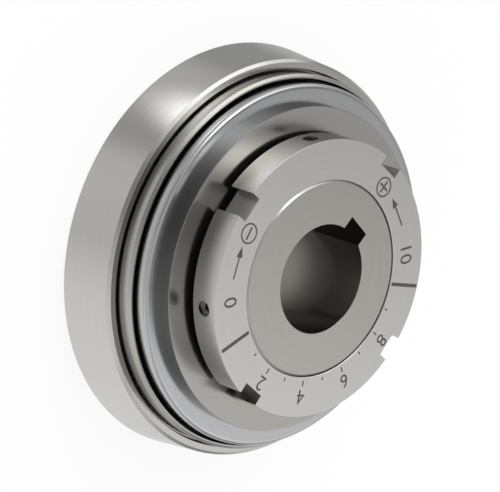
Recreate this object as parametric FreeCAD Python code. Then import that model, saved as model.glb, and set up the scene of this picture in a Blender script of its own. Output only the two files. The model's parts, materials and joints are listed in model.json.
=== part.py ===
# Overload safety coupling (torque limiter) for an indirect drive
# A keyed hub carries a slotted adjusting nut, a pair of disc springs, a shift ring with its cover disc,
# detent balls in a carrier flange and, on a ball bearing, the slightly conical drum with the pocket ring.
# Lengths are millimetres. The axis is Z, the drum's rear face stands on Z = 0, the nut is on top and the
# keyway lies on +Y. It is modelled released: the balls stand just clear above their pockets.
import FreeCAD
import Part
import math
import os

# Fits and gaps
running_gap = 0.05  # radial, sliding and running fits
ball_gap = 0.3  # released detent balls above the pocket ring
free_gap = 0.4  # parts that pass without touching

# Hub
bore_d = 30.0
key_width = 8.0
key_depth = 3.3  # above the bore, for an 8 x 7 key
journal_wall = 10.0  # bore to the bearing seat
shoulder_wall = 12.6  # bore to the shoulder in front of the bearing
guide_wall = 13.0  # bore to the shift ring's guide
thread_wall = 12.0  # bore to the middle of the thread M55 x 1.5
thread_edge = 0.5  # chamfer at the thread's front end
rear_edge = 0.5
undercut_depth = 0.8
undercut_width = 0.9

# Ball bearing 50 x 65 x 7
bearing_width = 7.0
bearing_section = 7.5
bearing_ball_d = 4.0
bearing_ball_count = 14
bearing_edge = 0.3
race_gap = 0.04
race_shoulder = 0.75  # how far each ring stops short of the balls' pitch circle, in ball radii
shield_thickness = 0.4
shield_setback = 0.2
cage_thickness = 1.6
cage_side = 0.4  # cage wall beside a ball

# Circlip and rear shield
circlip_lip = 1.2
circlip_thickness = 1.75
circlip_depth = 1.5
circlip_band = 3.9
circlip_lug_r = 2.0
circlip_hole_d = 1.8
circlip_lug_angle = 13.0
rear_shield_inset = 0.1
rear_shield_thickness = 0.8
rear_shield_overlap = 1.5
drum_lip = 1.5  # radial overlap of the drum behind the bearing

# Detent
detent_ball_d = 7.0
detent_count = 8
detent_offset = 10.0  # guide to the balls' pitch circle
detent_travel = 1.5  # shift ring, from released to engaged
pocket_slope = 45.0
pocket_floor_gap = 0.5
carrier_rim = 1.5  # carrier flange outside the balls
carrier_thickness = 4.4
carrier_gap = 1.0  # pocket ring to carrier flange
race_groove_depth = 0.4  # ball track in the shift ring's web

# Pocket ring and its pins
ring_lip = 1.0  # pocket ring in front of the bearing
pocket_ring_thickness = 5.0
pocket_ring_rim = 8.5  # outside the balls' pitch circle
pin_d = 4.0
pin_depth = 2.6  # below the pocket ring, in the drum
pin_inset = 3.0  # pocket ring's edge to the pins' pitch circle
pin_recess = 0.2

# Shift ring and cover disc
web_thickness = 2.5
skirt_gap = 0.6
skirt_wall = 6.6
skirt_depth = 2.8
cup_depth = 4.3
step_width = 5.3  # shift ring's front step, cover disc to outer edge
step_fillet = 0.7
disc_thickness = 3.4
disc_edge = 0.15
disc_dish = 1.2
spigot_wall = 1.6
spigot_depth = 1.5
spigot_inset = 3.4  # cover disc's edge to its spigot

# Seals
outer_seal_d = 2.0
outer_seal_height = 2.1  # skirt's lower edge to the seal's middle
inner_seal_d = 1.2
seal_side_gap = 0.05

# Springs and thrust washer
spring_thickness = 1.75
spring_height = 0.3  # cone height left when released
spring_inner_gap = 0.6
spring_outer_gap = 0.7
washer_thickness = 2.2
washer_width = 4.0

# Adjusting nut
nut_gap = 1.8  # cover disc to nut
nut_wall = 11.05  # thread to outer edge
nut_thickness = 8.5
nut_edge = 0.3
nut_bore_edge = 0.25
collar_wall = 4.15
collar_gap = 1.0  # collar to the cover disc's bore
slot_width = 7.1
slot_depth = 3.1
slot_angle = 4.6  # first slot, from +X
slot_count = 4
screw_d = 4.2
screw_recess = 1.6
screw_socket = 2.5
screw_socket_depth = 2.2
pad_length = 2.4

# Cover ring
cover_gap = 0.85
cover_wall = 1.15
cover_proud = 4.5  # in front of the drum
cover_edge = 0.55
cover_foot = 0.85
cover_foot_height = 1.8
snap_wire_d = 1.0
snap_inset = 0.45  # how far the wire stands out into its groove in the drum
snap_opening = 2.6

# Drum
drum_gap = 0.9
drum_land = 1.25  # flat front edge
drum_edge = 0.85
drum_rise = 5.7  # pocket face to the drum's front
drum_seat_rise = 1.7  # pocket face to the cover ring's seat
drum_seat_ledge = 1.6
drum_taper = 1.8  # radius, front to rear
drum_rear_edge = 0.5
mount_hole_d = 5.0  # tapping hole for M6
mount_hole_depth = 9.0
mount_hole_count = 8
mount_hole_wall = 7.0  # drum's rear edge to the holes' pitch circle

# Radii that follow
bore_r = bore_d / 2
journal_r = bore_r + journal_wall
shoulder_r = bore_r + shoulder_wall
guide_r = bore_r + guide_wall
thread_r = bore_r + thread_wall
bearing_r = journal_r + bearing_section
bearing_pitch_r = journal_r + bearing_section / 2
bearing_ball_r = bearing_ball_d / 2
detent_ball_r = detent_ball_d / 2
detent_pitch_r = guide_r + detent_offset
carrier_r = detent_pitch_r + detent_ball_r + carrier_rim
skirt_r = carrier_r + skirt_gap
shift_ring_r = skirt_r + skirt_wall
disc_r = shift_ring_r - step_width
cup_r = disc_r - spigot_inset
spigot_r = cup_r - spigot_wall
spring_outer_r = spigot_r - spring_outer_gap
spring_inner_r = guide_r + spring_inner_gap
thread_bore_r = thread_r + running_gap
washer_r = thread_bore_r + washer_width
collar_r = thread_bore_r + collar_wall
disc_bore_r = collar_r + collar_gap
nut_r = thread_bore_r + nut_wall
cover_inner_r = shift_ring_r + cover_gap
cover_outer_r = cover_inner_r + cover_wall
foot_r = cover_outer_r + cover_foot
drum_bore_r = cover_outer_r + drum_gap
snap_wire_r = drum_bore_r - snap_wire_d / 2 + snap_inset
drum_front_r = drum_bore_r + drum_land
drum_edge_r = drum_front_r + drum_edge
drum_rear_r = drum_edge_r + drum_taper
pocket_ring_r = detent_pitch_r + pocket_ring_rim
pin_pitch_r = pocket_ring_r - pin_inset
mount_pitch_r = drum_rear_r - mount_hole_wall
lip_r = bearing_r - drum_lip
rear_shield_r = bearing_r + rear_shield_overlap

# Heights that follow, from the drum's rear face up
circlip_z = circlip_lip
bearing_z = circlip_z + circlip_thickness + running_gap
bearing_top = bearing_z + bearing_width
pocket_face = bearing_top + ring_lip
pocket_ring_z = pocket_face - pocket_ring_thickness
ball_z = pocket_face + ball_gap + detent_ball_r
carrier_z = pocket_face + carrier_gap
carrier_top = carrier_z + carrier_thickness
web_z = ball_z + detent_ball_r
web_top = web_z + web_thickness
skirt_z = web_z - skirt_depth
step_z = web_top + cup_depth
disc_z = step_z
disc_top = disc_z + disc_thickness
disc_under = disc_z + disc_dish
spring_top = web_top + 2 * spring_thickness + spring_height
washer_top = spring_top + washer_thickness
nut_z = disc_top + nut_gap
nut_top = nut_z + nut_thickness
hub_top = nut_top
guide_top = web_top + spring_height + spring_thickness / 2
undercut_top = guide_top + undercut_width
drum_top = pocket_face + drum_rise
seat_z = pocket_face + drum_seat_rise
foot_top = seat_z + cover_foot_height
cover_top = drum_top + cover_proud
rear_shield_top = rear_shield_inset + rear_shield_thickness
outer_seal_z = skirt_z + outer_seal_height
inner_seal_z = (disc_under + disc_top) / 2
screw_z = nut_z + nut_thickness / 2

up = FreeCAD.Vector(0, 0, 1)
origin = FreeCAD.Vector(0, 0, 0)


def turned(*outline):
    # A solid of revolution from (radius, height) corners
    corners = [FreeCAD.Vector(radius, 0, height) for radius, height in outline]
    return Part.Face(Part.makePolygon(corners + corners[:1])).revolve(origin, up, 360)


def ring(inner, outer, bottom, top):
    return turned((inner, bottom), (outer, bottom), (outer, top), (inner, top))


def torus(radius, section, height):
    return Part.makeTorus(radius, section, FreeCAD.Vector(0, 0, height), up)


def around(shape, count, first=0.0):
    # Copies spread evenly about the axis
    copies = []
    for step in range(count):
        copy = shape.copy()
        copy.rotate(origin, up, first + step * 360.0 / count)
        copies.append(copy)
    return copies


def upright(radius, height, at_radius, at_height):
    return Part.makeCylinder(radius, height, FreeCAD.Vector(at_radius, 0, at_height), up)


def radial(radius, inner, outer, height):
    # A round bar that points away from the axis along +X
    start = FreeCAD.Vector(inner, 0, height)
    return Part.makeCylinder(radius, outer - inner, start, FreeCAD.Vector(1, 0, 0))


def make_hub():
    groove_r = journal_r - circlip_depth
    groove_top = bearing_z
    undercut_r = thread_r - undercut_depth
    body = turned(
        (bore_r + rear_edge, 0),
        (journal_r - rear_edge, 0),
        (journal_r, rear_edge),
        (journal_r, circlip_z),
        (groove_r, circlip_z),
        (groove_r, groove_top),
        (journal_r, groove_top),
        (journal_r, bearing_top),
        (shoulder_r, bearing_top),
        (shoulder_r, carrier_z),
        (carrier_r, carrier_z),
        (carrier_r, carrier_top),
        (guide_r, carrier_top),
        (guide_r, guide_top),
        (undercut_r, guide_top),
        (undercut_r, undercut_top),
        (thread_r, undercut_top),
        (thread_r, hub_top - thread_edge),
        (thread_r - thread_edge, hub_top),
        (bore_r, hub_top),
        (bore_r, rear_edge),
    )
    ball_hole_r = detent_ball_r + running_gap
    ball_hole = upright(ball_hole_r, carrier_thickness + 2, detent_pitch_r, carrier_z - 1)
    key_corner = FreeCAD.Vector(-key_width / 2, 0, -1)
    keyway = Part.makeBox(key_width, bore_r + key_depth, hub_top + 2, key_corner)
    return body.cut(around(ball_hole, detent_count) + [keyway])


def make_drum():
    body = turned(
        (rear_shield_r, 0),
        (drum_rear_r - drum_rear_edge, 0),
        (drum_rear_r, drum_rear_edge),
        (drum_edge_r, drum_top - drum_edge),
        (drum_front_r, drum_top),
        (drum_bore_r, drum_top),
        (drum_bore_r, seat_z),
        (drum_bore_r - drum_seat_ledge, seat_z),
        (drum_bore_r - drum_seat_ledge, pocket_face),
        (pocket_ring_r, pocket_face),
        (pocket_ring_r, pocket_ring_z),
        (bearing_r, pocket_ring_z),
        (bearing_r, bearing_z),
        (lip_r, bearing_z),
        (lip_r, rear_shield_top),
        (rear_shield_r, rear_shield_top),
    )
    snap_groove = torus(snap_wire_r, snap_wire_d / 2 + running_gap, foot_top + snap_wire_d / 2)
    tapped = upright(mount_hole_d / 2, mount_hole_depth, mount_pitch_r, 0)
    pin_hole = upright(pin_d / 2, pin_depth, pin_pitch_r, pocket_ring_z - pin_depth)
    half_step = 180.0 / detent_count
    tapped_holes = around(tapped, mount_hole_count, 180.0 / mount_hole_count)
    return body.cut([snap_groove] + tapped_holes + around(pin_hole, detent_count, half_step))


def make_pocket_ring():
    # Each pocket is a cone that keeps ball_gap from an engaged ball
    body = turned(
        (bearing_r, pocket_ring_z),
        (pocket_ring_r, pocket_ring_z),
        (pocket_ring_r, pocket_face),
        (lip_r, pocket_face),
        (lip_r, bearing_top),
        (bearing_r, bearing_top),
    )
    slope = math.radians(pocket_slope)
    engaged_z = ball_z - detent_travel
    apex_z = engaged_z - (detent_ball_r + ball_gap) / math.sin(slope)
    floor_z = engaged_z - detent_ball_r - pocket_floor_gap
    mouth_r = (pocket_face - apex_z) * math.tan(slope)
    floor_r = (floor_z - apex_z) * math.tan(slope)
    place = FreeCAD.Vector(detent_pitch_r, 0, floor_z)
    pocket = Part.makeCone(floor_r, mouth_r, pocket_face - floor_z, place, up)
    pin_hole = upright(pin_d / 2, pocket_ring_thickness, pin_pitch_r, pocket_ring_z)
    half_step = 180.0 / detent_count
    return body.cut(around(pocket, detent_count) + around(pin_hole, detent_count, half_step))


def make_torque_pins():
    length = pin_depth + pocket_ring_thickness - pin_recess
    pin = upright(pin_d / 2, length, pin_pitch_r, pocket_ring_z - pin_depth)
    return Part.makeCompound(around(pin, detent_count, 180.0 / detent_count))


def make_cover_ring():
    return turned(
        (cover_inner_r, seat_z),
        (foot_r, seat_z),
        (foot_r, foot_top),
        (cover_outer_r, foot_top),
        (cover_outer_r, cover_top - cover_edge),
        (cover_outer_r - cover_edge, cover_top),
        (cover_inner_r, cover_top),
    )


def make_cover_snap_ring():
    wire = torus(snap_wire_r, snap_wire_d / 2, foot_top + snap_wire_d / 2)
    corner = FreeCAD.Vector(0, -snap_opening / 2, foot_top - 1)
    opening = Part.makeBox(drum_rear_r, snap_opening, snap_wire_d + 2, corner)
    return wire.cut(opening)


def make_bearing_ring(inner, outer, raced_outside):
    bottom = bearing_z
    top = bearing_top
    edge = bearing_edge
    body = turned(
        (inner + edge, bottom),
        (outer - edge, bottom),
        (outer, bottom + edge),
        (outer, top - edge),
        (outer - edge, top),
        (inner + edge, top),
        (inner, top - edge),
        (inner, bottom + edge),
    )
    race = torus(bearing_pitch_r, bearing_ball_r + race_gap, (bottom + top) / 2)
    if raced_outside:
        return body.cut(race)
    return body.cut([race, *shield_rings()])


def shield_rings():
    inner = bearing_pitch_r - race_shoulder * bearing_ball_r + running_gap
    outer = bearing_pitch_r + race_shoulder * bearing_ball_r + shield_thickness
    low = bearing_z + shield_setback
    high = bearing_top - shield_setback - shield_thickness
    return [ring(inner, outer, bottom, bottom + shield_thickness) for bottom in (low, high)]


def make_bearing_balls():
    middle = bearing_z + bearing_width / 2
    ball = Part.makeSphere(bearing_ball_r, FreeCAD.Vector(bearing_pitch_r, 0, middle))
    return Part.makeCompound(around(ball, bearing_ball_count))


def make_bearing_cage():
    middle = bearing_z + bearing_width / 2
    half_width = bearing_ball_r + cage_side
    inner = bearing_pitch_r - cage_thickness / 2
    outer = bearing_pitch_r + cage_thickness / 2
    body = ring(inner, outer, middle - half_width, middle + half_width)
    window = radial(bearing_ball_r + running_gap, inner - 1, outer + 1, middle)
    return body.cut(around(window, bearing_ball_count))


def make_circlip():
    # An outer retaining ring with its two lugs side by side on +X
    inner = journal_r - circlip_depth
    outer = inner + circlip_band
    lug_pitch_r = outer - circlip_lug_r / 2
    lug = upright(circlip_lug_r, circlip_thickness, lug_pitch_r, circlip_z)
    lugs = [lug.copy(), lug.copy()]
    eye = upright(circlip_hole_d / 2, circlip_thickness, lug_pitch_r, circlip_z)
    eyes = [eye.copy(), eye.copy()]
    for pair in (lugs, eyes):
        pair[0].rotate(origin, up, circlip_lug_angle / 2)
        pair[1].rotate(origin, up, -circlip_lug_angle / 2)
    band = ring(inner, outer, circlip_z, circlip_z + circlip_thickness).fuse(lugs)
    opening_width = 2 * lug_pitch_r * math.sin(math.radians(circlip_lug_angle / 2)) - 2 * circlip_lug_r + 1
    corner = FreeCAD.Vector(0, -opening_width / 2, circlip_z)
    opening = Part.makeBox(outer + circlip_lug_r, opening_width, circlip_thickness, corner)
    core = Part.makeCylinder(inner, circlip_thickness, FreeCAD.Vector(0, 0, circlip_z), up)
    return band.cut([opening, core] + eyes)


def make_detent_balls():
    ball = Part.makeSphere(detent_ball_r, FreeCAD.Vector(detent_pitch_r, 0, ball_z))
    return Part.makeCompound(around(ball, detent_count))


def make_shift_ring():
    groove_half = outer_seal_d / 2 + seal_side_gap
    groove_r = cover_inner_r - running_gap - outer_seal_d
    body = turned(
        (guide_r + running_gap, web_z),
        (skirt_r, web_z),
        (skirt_r, skirt_z),
        (shift_ring_r, skirt_z),
        (shift_ring_r, outer_seal_z - groove_half),
        (groove_r, outer_seal_z - groove_half),
        (groove_r, outer_seal_z + groove_half),
        (shift_ring_r, outer_seal_z + groove_half),
        (shift_ring_r, step_z),
        (cup_r, step_z),
        (cup_r, web_top),
        (guide_r + running_gap, web_top),
    )
    front_edge = [
        edge
        for edge in body.Edges
        if abs(edge.BoundBox.ZMin - step_z) < 1e-6
        and edge.BoundBox.ZLength < 1e-6
        and abs(edge.BoundBox.XMax - shift_ring_r) < 1e-6
    ]
    rounded = body.makeFillet(step_fillet, front_edge)
    track = torus(detent_pitch_r, detent_ball_r, ball_z + race_groove_depth)
    return rounded.cut(track)


def make_cover_disc():
    groove_half = inner_seal_d / 2 + seal_side_gap
    groove_r = collar_r + running_gap + inner_seal_d
    return turned(
        (disc_bore_r, disc_under),
        (spigot_r, disc_under),
        (spigot_r, disc_z - spigot_depth),
        (cup_r, disc_z - spigot_depth),
        (cup_r, disc_z),
        (disc_r, disc_z),
        (disc_r, disc_top - disc_edge),
        (disc_r - disc_edge, disc_top),
        (disc_bore_r, disc_top),
        (disc_bore_r, inner_seal_z + groove_half),
        (groove_r, inner_seal_z + groove_half),
        (groove_r, inner_seal_z - groove_half),
        (disc_bore_r, inner_seal_z - groove_half),
    )


def make_outer_seal():
    section = outer_seal_d / 2
    return torus(cover_inner_r - running_gap - section, section, outer_seal_z)


def make_inner_seal():
    section = inner_seal_d / 2
    return torus(collar_r + running_gap + section, section, inner_seal_z)


def make_disc_spring(bottom):
    return turned(
        (spring_inner_r, bottom + spring_height),
        (spring_outer_r, bottom),
        (spring_outer_r, bottom + spring_thickness),
        (spring_inner_r, bottom + spring_height + spring_thickness),
    )


def make_thrust_washer():
    return ring(thread_bore_r, washer_r, spring_top, washer_top)


def make_adjusting_nut():
    body = turned(
        (thread_bore_r, washer_top),
        (collar_r, washer_top),
        (collar_r, nut_z),
        (nut_r - nut_edge, nut_z),
        (nut_r, nut_z + nut_edge),
        (nut_r, nut_top - nut_edge),
        (nut_r - nut_edge, nut_top),
        (thread_bore_r + nut_bore_edge, nut_top),
        (thread_bore_r, nut_top - nut_bore_edge),
    )
    floor_r = nut_r - slot_depth
    corner = FreeCAD.Vector(floor_r, -slot_width / 2, nut_z - 1)
    slot = Part.makeBox(slot_depth + 1, slot_width, nut_thickness + 2, corner)
    screw_hole = radial(screw_d / 2, bore_r, nut_r + 1, screw_z)
    between = slot_angle + 180.0 / slot_count
    return body.cut(around(slot, slot_count, slot_angle) + around(screw_hole, slot_count, between))


def make_lock_screws():
    inner = thread_bore_r + pad_length
    outer = nut_r - screw_recess
    body = radial(screw_d / 2, inner, outer, screw_z)
    corner_r = screw_socket / math.sqrt(3)
    corners = []
    for step in range(7):
        turn = math.radians(60 * step)
        corner = (outer, corner_r * math.cos(turn), screw_z + corner_r * math.sin(turn))
        corners.append(FreeCAD.Vector(*corner))
    hexagon = Part.Face(Part.makePolygon(corners))
    socket = hexagon.extrude(FreeCAD.Vector(-screw_socket_depth, 0, 0))
    return Part.makeCompound(around(body.cut(socket), slot_count, slot_angle + 180.0 / slot_count))


def make_lock_pads():
    inner = thread_bore_r + running_gap
    outer = thread_bore_r + pad_length
    pad = radial(screw_d / 2, inner, outer, screw_z)
    return Part.makeCompound(around(pad, slot_count, slot_angle + 180.0 / slot_count))


def make_parts():
    inner_race_r = bearing_pitch_r - race_shoulder * bearing_ball_r + running_gap - free_gap
    outer_race_r = bearing_pitch_r + race_shoulder * bearing_ball_r
    return {
        "hub": make_hub(),
        "drive_drum": make_drum(),
        "pocket_ring": make_pocket_ring(),
        "torque_pins": make_torque_pins(),
        "cover_ring": make_cover_ring(),
        "cover_snap_ring": make_cover_snap_ring(),
        "bearing_inner_ring": make_bearing_ring(journal_r, inner_race_r, True),
        "bearing_outer_ring": make_bearing_ring(outer_race_r, bearing_r, False),
        "bearing_balls": make_bearing_balls(),
        "bearing_cage": make_bearing_cage(),
        "bearing_shields": Part.makeCompound(shield_rings()),
        "bearing_circlip": make_circlip(),
        "rear_shield": ring(journal_r + free_gap, rear_shield_r, rear_shield_inset, rear_shield_top),
        "detent_balls": make_detent_balls(),
        "shift_ring": make_shift_ring(),
        "cover_disc": make_cover_disc(),
        "outer_seal": make_outer_seal(),
        "inner_seal": make_inner_seal(),
        "disc_spring_lower": make_disc_spring(web_top),
        "disc_spring_upper": make_disc_spring(web_top + spring_thickness),
        "thrust_washer": make_thrust_washer(),
        "adjusting_nut": make_adjusting_nut(),
        "lock_screws": make_lock_screws(),
        "lock_pads": make_lock_pads(),
    }


os.makedirs("parts", exist_ok=True)
for name, shape in make_parts().items():
    shape.exportStep(os.path.join("parts", name + ".step"))
    print(name, "solids", len(shape.Solids), "volume", round(shape.Volume, 1), "valid", shape.isValid())
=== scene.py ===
# Overload safety coupling on a pale floor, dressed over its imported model.
# Lengths in the settings are millimetres, angles are degrees counted from +X about the axis.
# The turned pieces' sizes across the axis are radii, and heights count from the flat rear face.
import json
import math

import bmesh
import bpy
import numpy as np
from mathutils import Matrix, Vector


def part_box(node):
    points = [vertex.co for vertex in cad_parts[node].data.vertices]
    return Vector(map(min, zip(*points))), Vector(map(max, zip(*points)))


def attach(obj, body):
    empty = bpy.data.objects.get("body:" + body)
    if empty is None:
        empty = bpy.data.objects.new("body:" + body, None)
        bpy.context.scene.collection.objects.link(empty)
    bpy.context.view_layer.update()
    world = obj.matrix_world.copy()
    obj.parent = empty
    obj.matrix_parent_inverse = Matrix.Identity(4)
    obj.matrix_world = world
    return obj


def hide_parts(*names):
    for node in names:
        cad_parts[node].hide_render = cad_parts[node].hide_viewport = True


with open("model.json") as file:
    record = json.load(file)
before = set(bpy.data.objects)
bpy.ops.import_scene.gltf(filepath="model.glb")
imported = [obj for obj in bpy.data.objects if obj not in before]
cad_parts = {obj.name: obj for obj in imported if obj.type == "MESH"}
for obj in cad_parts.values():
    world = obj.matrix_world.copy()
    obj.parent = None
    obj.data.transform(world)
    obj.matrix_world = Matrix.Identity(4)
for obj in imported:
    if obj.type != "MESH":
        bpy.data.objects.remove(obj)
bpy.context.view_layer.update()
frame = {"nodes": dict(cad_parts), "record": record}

mm = 0.001


# Node trees

class Wire:  # a socket that can be calculated with: each sum adds its Math node
    def __init__(self, board, socket):
        self.board = board
        self.socket = socket

    def math(self, operation, first, second):
        return self.board.put("ShaderNodeMath", {"operation": operation}, {0: first, 1: second})

    def __add__(self, other):
        return self.math("ADD", self, other)

    def __radd__(self, other):
        return self.math("ADD", other, self)

    def __sub__(self, other):
        return self.math("SUBTRACT", self, other)

    def __rsub__(self, other):
        return self.math("SUBTRACT", other, self)

    def __mul__(self, other):
        return self.math("MULTIPLY", self, other)

    def __rmul__(self, other):
        return self.math("MULTIPLY", other, self)

    def __pow__(self, other):
        return self.math("POWER", self, other)

    def smooth(self, low, high):  # 0 below low, 1 above high, and a soft step between them
        values = {"Value": self, "From Min": low, "From Max": high}
        return self.board.put("ShaderNodeMapRange", {"interpolation_type": "SMOOTHSTEP"}, values)


class Board:  # a node tree that is being wired
    def __init__(self, tree):
        self.tree = tree
        tree.nodes.clear()

    def put(self, kind, settings, values, out=0):
        node = self.tree.nodes.new(kind)
        for name, value in settings.items():
            setattr(node, name, value)
        for name, value in values.items():
            if isinstance(value, Wire):
                self.tree.links.new(value.socket, node.inputs[name])
            else:
                node.inputs[name].default_value = value
        return Wire(self, node.outputs[out]) if node.outputs else None

    def parts(self, vector):
        split = self.put("ShaderNodeSeparateXYZ", {}, {0: vector})
        return [Wire(self, socket) for socket in split.socket.node.outputs]

    def mix(self, share, first, second):  # a Mix node's colours are its inputs 6 and 7 and its output 2
        return self.put("ShaderNodeMix", {"data_type": "RGBA"}, {0: share, 6: first, 7: second}, 2)

    def vectors(self, operation, first, second, out="Value"):
        return self.put("ShaderNodeVectorMath", {"operation": operation}, {0: first, 1: second}, out)


def newMaterial(name):
    material = bpy.data.materials.new(name)
    material.use_nodes = True
    return material, Board(material.node_tree)


# Finishes

def toned(colour, factor):
    return [*(min(1, part * factor) for part in colour), 1]


steelLook = {
    "marks": 3500,  # turning marks, as a noise scale per metre
    "coarser": 6,  # how much coarser the second set of marks is
    "clouds": 30,
    "tones": (0.88, 1.12),  # darkest and lightest, times the colour
    "toneOfMarks": 0.14,
    "toneOfClouds": 0.12,
    "roughness": 0.24,
    "roughMarks": 0.06,
    "roughClouds": 0.05,
    "bump": 0.15,
    "bumpHeight": 0.01,
    # Painted shade: a dark outer flank, standing in for the dim reflections in a corner between parts
    "flankShade": 1000,  # radius outside which the colour turns to painted shade, here beyond the piece
    "flankShadeSoft": 0.04,
    "flankShadeColour": (0.18, 0.18, 0.18, 1),
}


def turnedSteel(name, own):
    # Turning marks run round the axis: they change with the radius on faces and with the height on flanks
    look = {**steelLook, **own}
    material, board = newMaterial(name)
    place = board.put("ShaderNodeTexCoord", {}, {}, "Object")
    x, y, z = board.parts(place)
    radius = (x * x + y * y) ** 0.5
    along = radius + z
    fine = board.put("ShaderNodeTexNoise", {"noise_dimensions": "1D"},
                     {"W": along, "Scale": look["marks"], "Detail": 2.0, "Roughness": 0.6})
    coarse = board.put("ShaderNodeTexNoise", {"noise_dimensions": "1D"},
                       {"W": along, "Scale": look["marks"] / look["coarser"], "Detail": 1.0})
    cloud = board.put("ShaderNodeTexNoise", {}, {"Vector": place, "Scale": look["clouds"], "Detail": 3.0})
    # Painted shade: past the set radius the colour turns dark, standing in for dim reflections on the outer
    # flank
    flankShade = radius.smooth((look["flankShade"] - look["flankShadeSoft"]) * mm, look["flankShade"] * mm)
    marksTone = (fine - 0.5) * look["toneOfMarks"] + (coarse - 0.5) * look["toneOfMarks"]
    tone = marksTone + (cloud - 0.5) * look["toneOfClouds"] + 0.5
    dark, light = [toned(look["colour"], factor) for factor in look["tones"]]
    colour = board.mix(flankShade, board.mix(tone, dark, light), look["flankShadeColour"])
    rough = look["roughness"] + (fine - 0.5) * look["roughMarks"] + (cloud - 0.5) * look["roughClouds"]
    bump = board.put("ShaderNodeBump", {}, {"Height": fine + coarse * 2, "Strength": look["bump"],
                                            "Distance": look["bumpHeight"] * mm})
    values = {"Base Color": colour, "Roughness": rough, "Metallic": 1.0, "Normal": bump}
    shader = board.put("ShaderNodeBsdfPrincipled", {}, values)
    board.put("ShaderNodeOutputMaterial", {}, {"Surface": shader})
    return material


plainLook = {"tones": (0.8, 1.2), "bumpHeight": 0.03}


def plainFinish(name, own):
    # An even grain over the whole surface
    look = {**plainLook, **own}
    material, board = newMaterial(name)
    place = board.put("ShaderNodeTexCoord", {}, {}, "Object")
    grain = board.put("ShaderNodeTexNoise", {}, {"Vector": place, "Scale": look["grain"], "Detail": 4.0})
    dark, light = [toned(look["colour"], factor) for factor in look["tones"]]
    colour = board.mix(grain, dark, light)
    rough = look["roughness"] + (grain - 0.5) * look["roughGrain"]
    bump = board.put("ShaderNodeBump", {}, {"Height": grain, "Strength": look["bump"],
                                            "Distance": look["bumpHeight"] * mm})
    values = {"Base Color": colour, "Roughness": rough, "Metallic": look["metallic"], "Normal": bump}
    shader = board.put("ShaderNodeBsdfPrincipled", {}, values)
    board.put("ShaderNodeOutputMaterial", {}, {"Surface": shader})
    return material


# The first nine are named for the record's slots, the last four for the piece that has its own
finishes = {
    "bright_steel": turnedSteel("BrightTurnedSteel", {"colour": (0.388, 0.383, 0.371), "roughness": 0.17}),
    "hub_steel": turnedSteel("HubSteel", {"colour": (0.327, 0.322, 0.300), "roughness": 0.19}),
    "blue_steel": turnedSteel("GroundSteel", {"colour": (0.357, 0.36, 0.366), "roughness": 0.2}),
    "nut_steel": turnedSteel("SatinNutSteel", {"colour": (0.437, 0.428, 0.416)}),
    "inner_steel": turnedSteel("OiledSteel", {"colour": (0.34, 0.335, 0.33), "roughness": 0.3}),
    "hard_steel": plainFinish("PolishedHardSteel", {
        "colour": (0.6, 0.6, 0.61), "grain": 400, "roughness": 0.12, "roughGrain": 0.05, "bump": 0.02,
        "metallic": 1.0}),
    "spring_steel": plainFinish("PhosphatedSpring", {
        "colour": (0.09, 0.09, 0.095), "grain": 900, "roughness": 0.5, "roughGrain": 0.2, "bump": 0.3,
        "metallic": 0.6}),
    "brass": plainFinish("PlainBrass", {
        "colour": (0.68, 0.5, 0.24), "grain": 600, "roughness": 0.28, "roughGrain": 0.1, "bump": 0.1,
        "metallic": 1.0}),
    "seal_rubber": plainFinish("SealRubber", {
        "colour": (0.014, 0.014, 0.014), "grain": 1500, "roughness": 0.6, "roughGrain": 0.2, "bump": 0.3,
        "metallic": 0.0}),
    # Painted shade on the outer flank past 44.84 mm: dark where it meets the shift ring's face, for the dim
    # reflection there
    "cover_disc": turnedSteel("WarmDiscSteel", {"colour": (0.316, 0.309, 0.29), "flankShade": 44.84}),
    "cover_ring": turnedSteel("WarmCoverSteel", {"colour": (0.33, 0.322, 0.30)}),
    "lock_screws": plainFinish("WornScrewSteel", {
        "colour": (0.24, 0.23, 0.21), "grain": 700, "roughness": 0.38, "roughGrain": 0.15, "bump": 0.2,
        "metallic": 1.0}),
    "nut_marks": plainFinish("DarkMarking", {
        "colour": (0.05, 0.05, 0.05), "grain": 3000, "roughness": 0.55, "roughGrain": 0.1, "bump": 0.1,
        "metallic": 0.0}),
}
print("finishes made:", len(finishes))


# Turned pieces

turning = {
    "steps": 360,  # round the axis
    "roundingStep": 15,  # degrees that one step of a rounded edge turns
    "gentle": 35,  # degrees of bend up to which the outline's sides share their shading
    "near": 0.002,  # distance at which a point still lies on a side of the outline
    "beyond": 0.01,  # share of a side's length that a point may lie past its ends
    "sameFacing": 0.97,  # cosine between a face and the side that it belongs to
    "samePlane": 0.8,  # cosine between cut faces that share their shading
}
fineEdge = 0.06  # radii of the small edge roundings
thinEdge = 0.08
crispEdge = 0.1
plainEdge = 0.12
softEdge = 0.15
wideEdge = 0.2
past = 1  # how far a cutter reaches past the piece


def softened(corners):
    # Corners are (radius, height) or (radius, height, edge radius): those are rounded with short steps
    points = []
    count = len(corners)
    for place, corner in enumerate(corners):
        here = Vector(corner[:2])
        edge = corner[2] if len(corner) > 2 else 0
        if not edge:
            points.append(here)
            continue
        before = (Vector(corners[place - 1][:2]) - here).normalized()
        after = (Vector(corners[(place + 1) % count][:2]) - here).normalized()
        half = before.angle(after) / 2
        setback = edge / math.tan(half)
        middle = here + (before + after).normalized() * (edge / math.sin(half))
        start = here + before * setback - middle
        end = here + after * setback - middle
        turn = start.angle_signed(end)
        steps = max(2, round(abs(turn) / math.radians(turning["roundingStep"])))
        for step in range(steps + 1):
            swing = -turn * step / steps
            points.append(middle + Matrix.Rotation(swing, 2) @ start)
    return points


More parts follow.
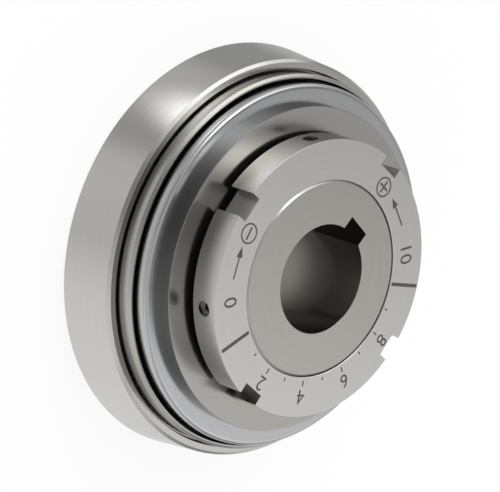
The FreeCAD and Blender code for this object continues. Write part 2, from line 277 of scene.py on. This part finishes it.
def outlineNormals(points):
    # For each side of the outline, its outward normal at both ends: shared where the outline bends gently
    count = len(points)
    following = points[1:] + points[:1]
    area = sum(here.x * there.y - there.x * here.y for here, there in zip(points, following))
    sign = 1 if area > 0 else -1
    sides, lengths = [], []
    for here, there in zip(points, following):
        run = there - here
        lengths.append(run.length)
        sides.append(Vector((run.y, -run.x)).normalized() * sign)
    ends = [[side.copy(), side.copy()] for side in sides]
    for place in range(count):
        if sides[place - 1].dot(sides[place]) > math.cos(math.radians(turning["gentle"])):
            shared = sides[place - 1] * lengths[place - 1] ** 2 + sides[place] * lengths[place] ** 2
            shared.normalize()
            ends[place - 1][1] = shared
            ends[place][0] = shared.copy()
    return ends


def turnedMesh(name, points):
    # The solid of revolution of the outline, as a closed mesh in metres
    count, steps = len(points), turning["steps"]
    mesh = bpy.data.meshes.new(name)
    verts = []
    for step in range(steps):
        angle = 2 * math.pi * step / steps
        for point in points:
            verts.append((point.x * mm * math.cos(angle), point.x * mm * math.sin(angle), point.y * mm))
    faces = []
    for step in range(steps):
        here, there = step * count, (step + 1) % steps * count
        for place in range(count):
            after = (place + 1) % count
            faces.append((here + place, there + place, there + after, here + after))
    mesh.from_pydata(verts, [], faces)
    fixed = bmesh.new()
    fixed.from_mesh(mesh)
    bmesh.ops.recalc_face_normals(fixed, faces=fixed.faces)
    fixed.to_mesh(mesh)
    fixed.free()
    return mesh


def shadeTurned(mesh, points):
    # Exact normals: sides of the outline are smooth round the axis, what was cut in keeps its own planes
    ends = outlineNormals(points)
    count = len(points)
    co = np.empty(len(mesh.vertices) * 3)
    mesh.vertices.foreach_get("co", co)
    co = co.reshape(-1, 3)
    flat = np.column_stack((np.hypot(co[:, 0], co[:, 1]), co[:, 2])) / mm
    onSide = np.zeros((len(co), count), bool)
    share = np.zeros((len(co), count))
    for place in range(count):
        start = np.array(points[place])
        run = np.array(points[(place + 1) % count]) - start
        length = np.linalg.norm(run)
        along = (flat - start) @ run / length ** 2
        away = np.abs((flat - start) @ np.array((run[1], -run[0])) / length)
        between = (along > -turning["beyond"]) & (along < 1 + turning["beyond"])
        onSide[:, place] = (away < turning["near"]) & between
        share[:, place] = np.clip(along, 0, 1)
    smallest = 1e-9
    normals = [None] * len(mesh.loops)
    cutFaces = []
    for face in mesh.polygons:
        corners = list(face.vertices)
        middle = face.center
        middleR = max(math.hypot(middle.x, middle.y), smallest)
        faceR = (face.normal.x * middle.x + face.normal.y * middle.y) / middleR
        found = -1
        for place in np.flatnonzero(onSide[corners].all(axis=0)):
            side = (ends[place][0] + ends[place][1]).normalized()
            if faceR * side.x + face.normal.z * side.y > turning["sameFacing"]:
                found = place
        if found < 0:
            cutFaces.append(face)
            continue
        for loop, corner in zip(face.loop_indices, corners):
            slide = share[corner, found]
            side = ends[found][0] * (1 - slide) + ends[found][1] * slide
            side.normalize()
            radius = max(flat[corner, 0] * mm, smallest)
            normals[loop] = (side.x * co[corner, 0] / radius, side.x * co[corner, 1] / radius, side.y)
    touching = {}
    for face in cutFaces:
        for corner in face.vertices:
            touching.setdefault(corner, []).append(face)
    for face in cutFaces:
        for loop, corner in zip(face.loop_indices, face.vertices):
            total = Vector((0, 0, 0))
            for near in touching[corner]:
                if near.normal.dot(face.normal) > turning["samePlane"]:
                    total += near.normal * near.area
            normals[loop] = tuple(total.normalized()) if total.length > 0 else tuple(face.normal)
    mesh.normals_split_custom_set(normals)


def newPiece(name, data):
    piece = bpy.data.objects.new(name, data)
    bpy.context.scene.collection.objects.link(piece)
    return piece


def asPlainMesh(piece):
    # The piece as its modifiers leave it, with the modifiers gone
    ready = piece.evaluated_get(bpy.context.evaluated_depsgraph_get())
    mesh = bpy.data.meshes.new_from_object(ready)
    piece.modifiers.clear()
    piece.data = mesh
    return piece


def cut(piece, cutter):
    tool = piece.modifiers.new("cut", "BOOLEAN")
    tool.operation = "DIFFERENCE"
    tool.solver = "EXACT"
    tool.object = cutter
    asPlainMesh(piece)
    bpy.data.objects.remove(cutter)


def dress(piece, material, slot, body, *nodes):
    piece.data.materials.clear()
    piece.data.materials.append(material)
    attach(piece, body)
    if nodes:
        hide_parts(*nodes)
    print(piece.name, "made, faces:", len(piece.data.polygons))


def turnedPiece(name, corners, cutters=()):
    points = softened(corners)
    piece = newPiece(name, turnedMesh(name, points))
    for cutter in cutters:
        cut(piece, cutter)
    shadeTurned(piece.data, points)
    return piece


# Geometry Nodes: what repeats round the axis

def makeAroundTree():
    tree = bpy.data.node_groups.new("CopiesRoundTheAxis", "GeometryNodeTree")
    tree.is_modifier = True
    inputs = {}
    for label, kind in (("Geometry", "Geometry"), ("Count", "Int"), ("First Angle", "Float"),
                        ("Step Angle", "Float"), ("Finish", "Material")):
        socket = tree.interface.new_socket(label, in_out="INPUT", socket_type="NodeSocket" + kind)
        inputs[label] = socket.identifier
    tree.interface.new_socket("Geometry", in_out="OUTPUT", socket_type="NodeSocketGeometry")
    board = Board(tree)
    given = tree.nodes.new("NodeGroupInput")
    shape, count, first, step, finish = [Wire(board, socket) for socket in given.outputs[:5]]
    index = board.put("GeometryNodeInputIndex", {}, {})
    points = board.put("GeometryNodePoints", {}, {"Count": count})
    turn = board.put("ShaderNodeCombineXYZ", {}, {"Z": first + index * step})
    copies = board.put("GeometryNodeInstanceOnPoints", {},
                       {"Points": points, "Instance": shape, "Rotation": turn})
    solid = board.put("GeometryNodeRealizeInstances", {}, {"Geometry": copies})
    done = board.put("GeometryNodeSetMaterial", {}, {"Geometry": solid, "Material": finish})
    board.put("NodeGroupOutput", {}, {0: done})
    return tree, inputs


aroundTree, aroundInputs = makeAroundTree()


def around(name, mesh, count, first, step, material):
    # Copies of the mesh about the axis, the first one turned by first degrees
    piece = newPiece(name, mesh)
    tool = piece.modifiers.new("around", "NODES")
    tool.node_group = aroundTree
    tool[aroundInputs["Count"]] = count
    tool[aroundInputs["First Angle"]] = math.radians(first)
    tool[aroundInputs["Step Angle"]] = math.radians(step)
    tool[aroundInputs["Finish"]] = material
    return asPlainMesh(piece)


def ringOf(name, mesh, count, first):
    # Cutters spread evenly round the axis
    return around(name, mesh, count, first, 360 / count, finishes["inner_steel"])


def boxMesh(name, low, high):
    mesh = bpy.data.meshes.new(name)
    built = bmesh.new()
    bmesh.ops.create_cube(built, size=1)
    size = Vector(high) - Vector(low)
    middle = (Vector(high) + Vector(low)) / 2
    for vert in built.verts:
        vert.co = Vector([vert.co[i] * size[i] + middle[i] for i in range(3)]) * mm
    built.to_mesh(mesh)
    built.free()
    return mesh


def barMesh(name, radius, start, end, sides=32):
    # A round bar between two points
    start, end = Vector(start), Vector(end)
    mesh = bpy.data.meshes.new(name)
    built = bmesh.new()
    bmesh.ops.create_cone(built, cap_ends=True, segments=sides, radius1=radius, radius2=radius,
                          depth=(end - start).length)
    turn = Vector((0, 0, 1)).rotation_difference(end - start).to_matrix()
    for vert in built.verts:
        vert.co = (turn @ vert.co + (start + end) / 2) * mm
    built.to_mesh(mesh)
    built.free()
    return mesh


def reach(node):
    # Outer radius, bottom and top of a CAD node, in millimetres
    low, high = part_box(node)
    return high.x / mm, low.z / mm, high.z / mm


# Drive drum

drumLook = {
    "bore": 52.85,  # the mouth in front of the seat
    "land": 1.65,  # width of the flat front edge
    "edge": 0.8,  # bevel outside it
    "seat": 12.7,  # height of the cover ring's seat
    "ledge": 1.35,  # width of that seat
    "face": 11.0,  # height of the face in front of the pocket ring
    "pocketRing": 46.5,
    "pocketRingFoot": 6.0,
    "bearing": 32.5,
    "bearingFoot": 3.0,
    "lip": 31.0,
    "shield": 34.0,
    "shieldTop": 0.9,
    "rearEdge": 0.5,
    "holes": 8,
    "holeR": 2.5,
    "holeCircle": 50.0,
    "holeDepth": 9.0,
    "firstHole": 22.5,
}
look = drumLook
drumR, drumFoot, drumTop = reach("drive_drum")
frontR = look["bore"] + look["land"]
seatR = look["bore"] - look["ledge"]
hole = barMesh("hole", look["holeR"], (look["holeCircle"], 0, -past),
               (look["holeCircle"], 0, look["holeDepth"]))
holes = ringOf("drumHoles", hole, look["holes"], look["firstHole"])
drum = turnedPiece("drum_turned", [
    (look["shield"], drumFoot, wideEdge),
    (drumR - look["rearEdge"], drumFoot, crispEdge),
    (drumR, drumFoot + look["rearEdge"], softEdge),
    (frontR + look["edge"], drumTop - look["edge"], plainEdge),
    (frontR, drumTop, plainEdge),
    (look["bore"], drumTop, crispEdge),
    (look["bore"], look["seat"]),
    (seatR, look["seat"]),
    (seatR, look["face"]),
    (look["pocketRing"], look["face"]),
    (look["pocketRing"], look["pocketRingFoot"]),
    (look["bearing"], look["pocketRingFoot"]),
    (look["bearing"], look["bearingFoot"]),
    (look["lip"], look["bearingFoot"]),
    (look["lip"], look["shieldTop"]),
    (look["shield"], look["shieldTop"]),
], [holes])
dress(drum, finishes["bright_steel"], "bright_steel", "drum_body", "drive_drum")


# Cover ring

coverLook = {
    "inner": 51.05,
    "outer": 52.2,
    "foot": 52.8,  # the wider foot on the drum's seat
    "footTop": 14.5,
    "rise": 0.2,  # front above the solid's
    "edge": 0.7,
}
look = coverLook
coverSeat, coverTop = reach("cover_ring")[1:]
coverTop += look["rise"]
cover = turnedPiece("cover_ring_turned", [
    (look["inner"], coverSeat, crispEdge),
    (look["foot"], coverSeat, crispEdge),
    (look["foot"], look["footTop"], crispEdge),
    (look["outer"], look["footTop"]),
    (look["outer"], coverTop - look["edge"], crispEdge),
    (look["outer"] - look["edge"], coverTop, thinEdge),
    (look["inner"], coverTop, thinEdge),
])
dress(cover, finishes["cover_ring"], "bright_steel", "drum_body", "cover_ring")


# Shift ring

shiftLook = {
    "bore": 28.05,
    "web": 18.3,  # height of the web's underside, the balls' track
    "webTop": 20.8,
    "skirt": 43.6,  # inside of the skirt
    "groove": 49.0,  # bottom of the seal's groove
    "grooveLow": 16.55,
    "grooveHigh": 18.65,
    "cup": 41.5,  # inside of the cup that holds the springs
    "fillet": 1.3,  # rounding of the front edge
}
look = shiftLook
shiftR, skirtFoot, stepTop = reach("shift_ring")
shift = turnedPiece("shift_ring_turned", [
    (look["bore"], look["web"], softEdge),
    (look["skirt"], look["web"]),
    (look["skirt"], skirtFoot, wideEdge),
    (shiftR, skirtFoot, wideEdge),
    (shiftR, look["grooveLow"]),
    (look["groove"], look["grooveLow"]),
    (look["groove"], look["grooveHigh"]),
    (shiftR, look["grooveHigh"]),
    (shiftR, stepTop, look["fillet"]),
    (look["cup"], stepTop),
    (look["cup"], look["webTop"]),
    (look["bore"], look["webTop"], softEdge),
])
dress(shift, finishes["blue_steel"], "blue_steel", "shift_body", "shift_ring")


# Cover disc

discLook = {
    "bore": 32.2,
    "under": 26.3,  # height of the underside inside the spigot
    "spigotIn": 39.9,
    "spigotOut": 41.5,
    "seat": 25.1,  # height of the rim's underside
    "groove": 32.5,  # bottom of the seal's groove
    "grooveLow": 26.75,
    "grooveHigh": 28.05,
}
look = discLook
discR, spigotFoot, discTop = reach("cover_disc")
disc = turnedPiece("cover_disc_turned", [
    (look["bore"], look["under"]),
    (look["spigotIn"], look["under"]),
    (look["spigotIn"], spigotFoot, crispEdge),
    (look["spigotOut"], spigotFoot, crispEdge),
    (look["spigotOut"], look["seat"]),
    (discR, look["seat"]),
    (discR, discTop, softEdge),
    (look["bore"], discTop, wideEdge),
    (look["bore"], look["grooveHigh"]),
    (look["groove"], look["grooveHigh"]),
    (look["groove"], look["grooveLow"]),
    (look["bore"], look["grooveLow"]),
])
dress(disc, finishes["cover_disc"], "bright_steel", "shift_body", "cover_disc")


# Adjusting nut

nutLook = {
    "bore": 27.05,
    "boreEdge": 0.1,
    "collar": 31.2,  # the thinner collar behind the slotted flange
    "flange": 30.3,  # height of the flange's underside
    "slots": 4,
    "firstSlot": 4.6,
    "slotWidth": 7.1,
    "slotDepth": 3.1,
    "firstScrew": 49.6,
    "screwR": 2.1,
    "screwZ": 34.55,
}
look = nutLook
nutR, nutFoot, nutTop = reach("adjusting_nut")
slotBox = boxMesh("slot", (nutR - look["slotDepth"], -look["slotWidth"] / 2, look["flange"] - past),
                  (nutR + 2 * past, look["slotWidth"] / 2, nutTop + past))
slots = ringOf("slots", slotBox, look["slots"], look["firstSlot"])
screwHole = barMesh("screwHole", look["screwR"], (look["bore"] - past, 0, look["screwZ"]),
                    (nutR + past, 0, look["screwZ"]))
screwHoles = ringOf("screwHoles", screwHole, look["slots"], look["firstScrew"])
nut = turnedPiece("adjusting_nut_turned", [
    (look["bore"], nutFoot, wideEdge),
    (look["collar"], nutFoot, softEdge),
    (look["collar"], look["flange"]),
    (nutR, look["flange"], softEdge),
    (nutR, nutTop, softEdge),
    (look["bore"] + look["boreEdge"], nutTop),
    (look["bore"], nutTop - look["boreEdge"]),
], [slots, screwHoles])
dress(nut, finishes["nut_steel"], "nut_steel", "nut_body", "adjusting_nut")


# Marks on the nut's face: two end lines, the way to less and to more, and a plain scale between them

marksLook = {
    "lift": 0.004,
    "thickness": 0.02,
    "endLines": ((247.1, 27.6, 37.5), (33.1, 27.6, 37.7)),  # angle, inner and outer radius
    "endLineWidth": 1.0,
    "arrows": ((216.1, 200.4, 32.4), (64.7, 82.0, 31.35)),  # angles of tail and tip, radius
    "shaft": 0.46,
    "head": 3.0,
    "headWidth": 2.1,
    "signs": ((193.7, 31.95), (91.4, 31.05)),  # angle and radius of minus and plus
    "sign": 3.7,
    "signWidth": 0.56,
    "ringR": 2.85,
    "ringWidth": 0.46,
    "endNumbers": ((227.0, 32.4, "0"), (49.0, 31.7, "10")),  # angle, radius, text
    "endSize": 6.2,
    "scale": (2, 4, 6, 8),
    "firstNumber": 276.3,
    "numberStep": 29.2,
    "numberR": 32.3,
    "numberSize": 5.8,
    "tick": (28.0, 29.6),  # inner and outer radius
    "fineTick": (28.0, 28.9),
    "tickWidth": 0.42,
}
look = marksLook
markLow = nutTop + look["lift"]
markHigh = markLow + look["thickness"]
quarterTurn = Matrix.Rotation(math.radians(90), 4, "Z")


def onFace(angle, radius):
    # Place on the nut's face that reads clockwise, its top outwards
    m = math.radians(angle)
    columns = ((math.sin(m), math.cos(m), 0), (-math.cos(m), math.sin(m), 0), (0, 0, 1))
    middle = Vector((radius * math.cos(m), radius * math.sin(m), 0)) * mm
    return Matrix.Translation(middle) @ Matrix(columns).to_4x4()


def plateMesh(name, outline, place):
    # A thin flat mark with the given outline, in millimetres about its place
    mesh = bpy.data.meshes.new(name)
    built = bmesh.new()
    low = built.faces.new([built.verts.new(Vector((x, y, markLow)) * mm) for x, y in outline])
    grown = bmesh.ops.extrude_face_region(built, geom=[low])
    for item in grown["geom"]:
        if isinstance(item, bmesh.types.BMVert):
            item.co.z = markHigh * mm
    bmesh.ops.recalc_face_normals(built, faces=built.faces)
    built.to_mesh(mesh)
    built.free()
    mesh.transform(place)
    return mesh


def strip(length, width):
    far, near = length / 2, width / 2
    return [(-far, -near), (far, -near), (far, near), (-far, near)]


def ringMesh(name, outer, inner, place, sides=48):
    mesh = bpy.data.meshes.new(name)
    verts, faces = [], []
    for side in range(sides):
        angle = 2 * math.pi * side / sides
        for radius, height in ((inner, markLow), (outer, markLow), (outer, markHigh), (inner, markHigh)):
            verts.append((radius * mm * math.cos(angle), radius * mm * math.sin(angle), height * mm))
        here, there = side * 4, (side + 1) % sides * 4
        for corner in range(4):
            after = (corner + 1) % 4
            faces.append((here + corner, there + corner, there + after, here + after))
    mesh.from_pydata(verts, [], faces)
    mesh.flip_normals()
    mesh.transform(place)
    return mesh


def numberMesh(name, text, size, place):
    curve = bpy.data.curves.new(name, "FONT")
    curve.body = text
    curve.size = size * mm
    curve.align_x = "CENTER"
    curve.align_y = "CENTER"
    curve.extrude = marksLook["thickness"] * mm / 2
    curve.resolution_u = 4
    carrier = newPiece(name, curve)
    bpy.context.view_layer.update()
    ready = carrier.evaluated_get(bpy.context.evaluated_depsgraph_get())
    mesh = bpy.data.meshes.new_from_object(ready)
    bpy.data.objects.remove(carrier)
    mesh.transform(place @ Matrix.Translation((0, 0, (markLow + markHigh) / 2 * mm)))
    return mesh


def ticks(name, reachOfTick, count, first):
    inner, outer = reachOfTick
    half = marksLook["tickWidth"] / 2
    one = boxMesh(name, (inner, -half, markLow), (outer, half, markHigh))
    piece = around(name, one, count, first, marksLook["numberStep"], finishes["nut_marks"])
    mesh = piece.data
    bpy.data.objects.remove(piece)
    return mesh


marks = []
for angle, inner, outer in look["endLines"]:
    place = onFace(angle, (inner + outer) / 2) @ quarterTurn
    marks.append(plateMesh("endLine", strip(outer - inner, look["endLineWidth"]), place))
for tail, tip, radius in look["arrows"]:
    start = onFace(tail, radius).translation
    end = onFace(tip, radius).translation
    length = (end - start).length / mm
    bearing = math.atan2(end.y - start.y, end.x - start.x)
    half, wide, neck = look["shaft"] / 2, look["headWidth"] / 2, length - look["head"]
    outline = [(0, -half), (neck, -half), (neck, -wide), (length, 0), (neck, wide), (neck, half), (0, half)]
    marks.append(plateMesh("arrow", outline, Matrix.Translation(start) @ Matrix.Rotation(bearing, 4, "Z")))
for angle, radius in look["signs"]:
    place = onFace(angle, radius)
    marks.append(ringMesh("signRing", look["ringR"], look["ringR"] - look["ringWidth"], place))
    marks.append(plateMesh("minus", strip(look["sign"], look["signWidth"]), place))
upright = onFace(*look["signs"][1]) @ quarterTurn  # the plus sign's other bar, in two halves
near, far = look["signWidth"] / 2, look["sign"] / 2
for side in (-1, 1):
    outline = [(side * near, -near), (side * far, -near), (side * far, near), (side * near, near)]
    marks.append(plateMesh("plus", outline, upright))
for angle, radius, text in look["endNumbers"]:
    marks.append(numberMesh("end" + text, text, look["endSize"], onFace(angle, radius)))
for place, number in enumerate(look["scale"]):
    angle = look["firstNumber"] + place * look["numberStep"]
    upwards = onFace(angle, look["numberR"])
    marks.append(numberMesh(f"scale{number}", str(number), look["numberSize"], upwards))
numbers = len(look["scale"])
marks.append(ticks("longTicks", look["tick"], numbers, look["firstNumber"]))
marks.append(ticks("fineTicks", look["fineTick"], numbers + 1, look["firstNumber"] - look["numberStep"] / 2))
joined = bmesh.new()
for mesh in marks:
    joined.from_mesh(mesh)
allMarks = bpy.data.meshes.new("nut_marks")
joined.to_mesh(allMarks)
joined.free()
dress(newPiece("nut_marks", allMarks), finishes["nut_marks"], "seal_rubber", "nut_body")


# Hub

hubLook = {
    "bore": 15.0,
    "rearEdge": 0.5,
    "journal": 25.0,  # the bearing's seat
    "groove": 23.5,  # bottom of the circlip's groove
    "grooveLow": 1.2,
    "grooveHigh": 3.0,
    "shoulder": 27.6,
    "shoulderFoot": 10.0,
    "flange": 43.0,  # the flange that carries the balls
    "flangeFoot": 12.0,
    "flangeTop": 16.4,
    "guide": 28.0,  # the shift ring slides on it
    "guideTop": 21.975,
    "undercut": 26.2,
    "undercutTop": 22.875,
    "thread": 27.0,  # a plain cylinder at the thread's middle
    "frontEdge": 0.7,  # width of the front chamfer
    "frontDrop": 0.45,  # and its height
    "keyWidth": 8.0,
    "keyTop": 18.3,
    "balls": 8,
    "ballHoleR": 3.55,
    "ballCircle": 38.0,
}
look = hubLook
hubFoot, hubTop = reach("hub")[1:]
keyBox = boxMesh("keyway", (-look["keyWidth"] / 2, 0, -past),
                 (look["keyWidth"] / 2, look["keyTop"], hubTop + past))
ballHole = barMesh("ballHole", look["ballHoleR"], (look["ballCircle"], 0, look["flangeFoot"] - past),
                   (look["ballCircle"], 0, look["flangeTop"] + past))
hub = turnedPiece("hub_turned", [
    (look["bore"], hubFoot, look["rearEdge"]),
    (look["journal"], hubFoot, look["rearEdge"]),
    (look["journal"], look["grooveLow"]),
    (look["groove"], look["grooveLow"]),
    (look["groove"], look["grooveHigh"]),
    (look["journal"], look["grooveHigh"]),
    (look["journal"], look["shoulderFoot"]),
    (look["shoulder"], look["shoulderFoot"]),
    (look["shoulder"], look["flangeFoot"]),
    (look["flange"], look["flangeFoot"]),
    (look["flange"], look["flangeTop"]),
    (look["guide"], look["flangeTop"]),
    (look["guide"], look["guideTop"]),
    (look["undercut"], look["guideTop"]),
    (look["undercut"], look["undercutTop"]),
    (look["thread"], look["undercutTop"]),
    (look["thread"], hubTop - look["frontDrop"], fineEdge),
    (look["thread"] - look["frontEdge"], hubTop, fineEdge),
    (look["bore"], hubTop, plainEdge),
], [newPiece("keyway", keyBox), ringOf("ballHoles", ballHole, look["balls"], 0)])
dress(hub, finishes["hub_steel"], "hub_steel", "hub_body", "hub")


# CAD nodes that stay: each gets its own finish, or its slot's

slotOfNode = {row["node"]: row["material_slot"] for row in frame["record"]["subparts"]}
for name, node in frame["nodes"].items():
    if node.hide_render:
        continue
    for place in node.material_slots:
        place.material = finishes.get(name, finishes[slotOfNode[name]])
print("CAD nodes that stay are finished")


# Camera, at the photograph's viewing angle

cameraLook = {
    "right": (0.4856, 0.5575, 0.6733),
    "up": (-0.5788, 0.7823, -0.2304),
    "place": (-0.4855, -0.2035, 0.5291),  # metres
    "lens": 194.5,
    "sensor": 36,
    "nearest": 0.01,  # metres
}
look = cameraLook
cameraRight, cameraUp = Vector(look["right"]), Vector(look["up"])
cameraBack = cameraRight.cross(cameraUp).normalized()
cameraUp = cameraBack.cross(cameraRight).normalized()
cameraRight.normalize()
lens = bpy.data.cameras.new("camera")
lens.sensor_width = look["sensor"]
lens.lens = look["lens"]
lens.clip_start = look["nearest"]
camera = bpy.data.objects.new("camera", lens)
turn = Matrix((cameraRight, cameraUp, cameraBack)).transposed()
camera.matrix_world = Matrix.Translation(Vector(look["place"])) @ turn.to_4x4()
bpy.context.scene.collection.objects.link(camera)
bpy.context.scene.camera = camera
bpy.context.scene.view_settings.view_transform = "Standard"


def seen(right, up, towards):
    # A direction given as the camera sees it, in the frame's own axes
    return (cameraRight * right + cameraUp * up + cameraBack * towards).normalized()


# Studio: a pale room that only the metal mirrors, with soft lights and grey cards

studio = {
    "level": 0.88,
    "cards": (
        # direction as the camera sees it (right, up, towards it), reach, soft edge, strength
        ((0.60, 0.64, 0.44), 17, 17, 1.7),  # large light, upper right
        ((0.63, 0.50, 0.60), 4, 9, 3.3),  # its hot middle
        ((0.72, 0.69, -0.10), 8, 12, 0.8),  # its far end
        ((-0.68, -0.66, -0.20), 36, 28, 0.5),  # wide light from the lower left
        ((-0.90, 0.42, 0.00), 14, 12, 0.18),  # light on the left
        ((-0.07, -0.72, 0.68), 14, 14, 0.4),  # light below the camera
        ((0.80, -0.60, 0.00), 17, 10, 0.75),  # light low on the right, which the faces mirror
        ((0.98, 0.04, 0.14), 22, 14, -0.42),  # grey card above that light
        ((0.70, 0.50, -0.51), 9, 10, -0.32),  # grey card behind, right
        ((0.10, 0.24, -0.96), 14, 14, -0.32),  # grey card straight behind
        ((-0.63, 0.78, -0.04), 8, 7, -0.22),  # grey card above, left
        ((-0.06, 0.69, -0.72), 12, 10, -0.34),  # grey card behind, above
        ((0.22, -0.84, -0.48), 14, 12, -0.42),  # grey card behind, below
        ((0.04, 0.18, 0.98), 13, 14, -0.44),  # darker room behind the camera
    ),
}


def litRoom(board, direction):
    light = None
    for place, reachAngle, edgeAngle, strength in studio["cards"]:
        facing = board.vectors("DOT_PRODUCT", direction, seen(*place))
        low = math.cos(math.radians(reachAngle + edgeAngle))
        high = math.cos(math.radians(max(reachAngle - edgeAngle, 0)))
        part = facing.smooth(low, high) * strength
        light = part if light is None else light + part
    return light + studio["level"]


world = bpy.data.worlds.new("studio")
bpy.context.scene.world = world
world.use_nodes = True
world.cycles.sampling_method = "NONE"
board = Board(world.node_tree)
direction = board.put("ShaderNodeTexCoord", {}, {}, "Generated")
fromCamera = board.put("ShaderNodeLightPath", {}, {}, "Is Camera Ray")
level = fromCamera + (1 - fromCamera) * litRoom(board, direction)
background = board.put("ShaderNodeBackground", {}, {"Color": (1, 1, 1, 1), "Strength": level})
board.put("ShaderNodeOutputWorld", {}, {"Surface": background})
print("camera and studio ready")


# Floor: white, with the coupling's soft shadow, and seen from above only

floorLook = {"half": 3000, "drop": 0.1, "grey": 0.9, "shadowShare": 0.15}
look = floorLook
corners = [(x * look["half"] * mm, y * look["half"] * mm, -look["drop"] * mm)
           for x, y in ((-1, -1), (1, -1), (1, 1), (-1, 1))]
floorMesh = bpy.data.meshes.new("floor")
floorMesh.from_pydata(corners, [], [(0, 1, 2, 3)])
floor = newPiece("floor", floorMesh)
floor.visible_glossy = False
floor.visible_diffuse = False
material, board = newMaterial("PaleFloor")
diffuse = board.put("ShaderNodeBsdfDiffuse", {}, {"Color": (look["grey"], look["grey"], look["grey"], 1)})
glow = board.put("ShaderNodeEmission", {}, {"Color": (1, 1, 1, 1), "Strength": 1.0})
both = board.put("ShaderNodeMixShader", {}, {0: look["shadowShare"], 1: glow, 2: diffuse})
clear = board.put("ShaderNodeBsdfTransparent", {}, {})
below = board.put("ShaderNodeNewGeometry", {}, {}, "Backfacing")
oneSided = board.put("ShaderNodeMixShader", {}, {0: below, 1: both, 2: clear})
board.put("ShaderNodeOutputMaterial", {}, {"Surface": oneSided})
floorMesh.materials.append(material)


# Stage: what the metal mirrors close by

def discMesh(name, place, towards, radius, sides=64):
    mesh = bpy.data.meshes.new(name)
    built = bmesh.new()
    bmesh.ops.create_circle(built, cap_ends=True, segments=sides, radius=radius * mm)
    turn = Vector((0, 0, 1)).rotation_difference(Vector(towards)).to_matrix()
    for vert in built.verts:
        vert.co = turn @ vert.co + Vector(place) * mm
    built.to_mesh(mesh)
    built.free()
    return mesh


def onlyMirrored(name, mesh, material):
    mesh.materials.append(material)
    piece = newPiece(name, mesh)
    piece.visible_camera = False
    piece.visible_diffuse = False
    piece.visible_shadow = False


# Light close to the drum's side: it fades from its middle outwards, and less fast along its longer way

nearLight = {
    "place": (-129.0, 69.0, -35.0),
    "towards": (0.68, -0.44, 0.58),
    "along": (0.54, 0.84, 0),  # its longer way
    "radius": 48,
    "fade": 28,
    "stretch": 1.8,
    "strength": 5.2,
}
look = nearLight
material, board = newMaterial("NearLight")
place = board.put("ShaderNodeTexCoord", {}, {}, "Object")
offset = board.vectors("SUBTRACT", place, Vector(look["place"]) * mm, "Vector")
side = board.vectors("DOT_PRODUCT", offset, Vector(look["along"]).normalized())
square = board.vectors("DOT_PRODUCT", offset, offset)
away = (square - side * side * (1 - look["stretch"] ** -2)) ** 0.5
clear = board.put("ShaderNodeBsdfTransparent", {}, {})
glow = board.put("ShaderNodeEmission", {}, {"Strength": look["strength"]})
both = board.put("ShaderNodeMixShader", {}, {0: away.smooth(0, look["fade"] * mm), 1: glow, 2: clear})
board.put("ShaderNodeOutputMaterial", {}, {"Surface": both})
lightDisc = discMesh("near_light", look["place"], look["towards"], look["radius"])
onlyMirrored("near_light", lightDisc, material)


# Painted shade and light: a glowing sheet, seen only in reflections, stands in for the shaded ground just
# inside the rear end of the bore and of the keyway, which the bore's wall mirrors; it has a painted pool of
# light near its middle

paintedShadeGround = {
    "radius": 14.95,
    "height": 0.3,
    "keyHalf": 3.95,
    "keyTop": 18.25,
    "keyOverlap": 3,  # how far the keyway's plate reaches under the disc
    "thickness": 0.1,
    "middle": (2.5, 2.0, 0.3),  # where its painted light is brightest
    "fade": 18,
    "falloff": 2,
    # glow is the painted light at the middle, rest the painted shade over the rest of the sheet
    "glow": 0.52,
    "rest": 0.11,
    "colour": (1, 0.97, 0.92, 1),
}
look = paintedShadeGround
material, board = newMaterial("PaintedShadeGround")
place = board.put("ShaderNodeTexCoord", {}, {}, "Object")
away = board.vectors("DISTANCE", place, Vector(look["middle"]) * mm)
light = (1 - away.smooth(0, look["fade"] * mm)) ** look["falloff"] * look["glow"] + look["rest"]
ground = board.put("ShaderNodeEmission", {}, {"Color": look["colour"], "Strength": light})
board.put("ShaderNodeOutputMaterial", {}, {"Surface": ground})
borePaintedShade = discMesh("painted_shade_ground", (0, 0, look["height"]), (0, 0, 1), look["radius"])
onlyMirrored("painted_shade_ground", borePaintedShade, material)
keyLow = (-look["keyHalf"], look["radius"] - look["keyOverlap"], look["height"] - look["thickness"])
keyHigh = (look["keyHalf"], look["keyTop"], look["height"])
onlyMirrored("key_painted_shade_ground", boxMesh("key_painted_shade_ground", keyLow, keyHigh), material)
print("floor and stage ready")
